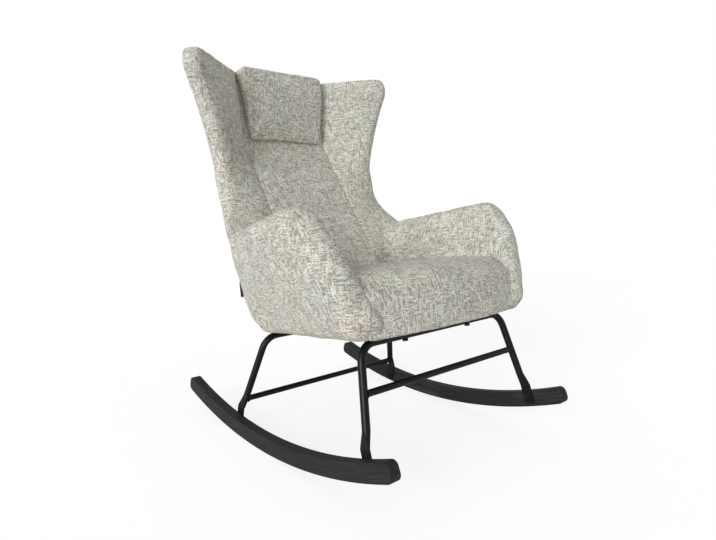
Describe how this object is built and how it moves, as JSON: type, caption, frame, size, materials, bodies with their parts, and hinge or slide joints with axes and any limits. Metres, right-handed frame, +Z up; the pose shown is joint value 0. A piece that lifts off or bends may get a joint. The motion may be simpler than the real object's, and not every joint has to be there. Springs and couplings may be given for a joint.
{
  "type": "rocking chair",
  "caption": "Upholstered wing-back rocking chair with padded arms and headrest, on bent tube legs and curved wooden rockers.",
  "frame": {"origin": "on the floor, at the centre of the overall box seen from above", "axes": "+Z up, the chair faces -Y and its left side is +X"},
  "size_m": [0.7752, 0.9482, 1.0663],
  "materials": {
    "upholstery": "woven, mottled",
    "stained_wood": "black stain, matte",
    "black_steel": "satin",
    "zinc_steel": "plain",
    "inner_wood": "bare",
    "dust_cloth": "matte",
    "webbing": "woven",
    "tab_cloth": "matte"
  },
  "bodies": {
    "root": {"arm_bolts": "zinc_steel", "back_board": "inner_wood", "back_cleat": "inner_wood", "back_pad": "upholstery", "back_screws": "zinc_steel", "cleat_screws": "zinc_steel", "dust_cover": "dust_cloth", "front_band": "upholstery", "front_hoop": "black_steel", "front_stretcher": "black_steel", "front_stretcher_welds": "black_steel", "headrest_pad": "upholstery", "label_tab": "tab_cloth", "left_arm": "upholstery", "left_arm_board": "inner_wood", "left_rocker": "stained_wood", "left_wing": "upholstery", "left_wing_board": "inner_wood", "outer_back": "upholstery", "rear_hoop": "black_steel", "rear_stretcher": "black_steel", "rear_stretcher_welds": "black_steel", "right_arm": "upholstery", "right_arm_board": "inner_wood", "right_rocker": "stained_wood", "right_wing": "upholstery", "right_wing_board": "inner_wood", "rocker_inserts": "zinc_steel", "rocker_screws": "black_steel", "seat_bolts": "black_steel", "seat_cushion": "upholstery", "seat_frame": "inner_wood", "tee_nuts": "zinc_steel", "webbing_crosswise": "webbing", "webbing_lengthwise": "webbing"}
  },
  "joints": []
}
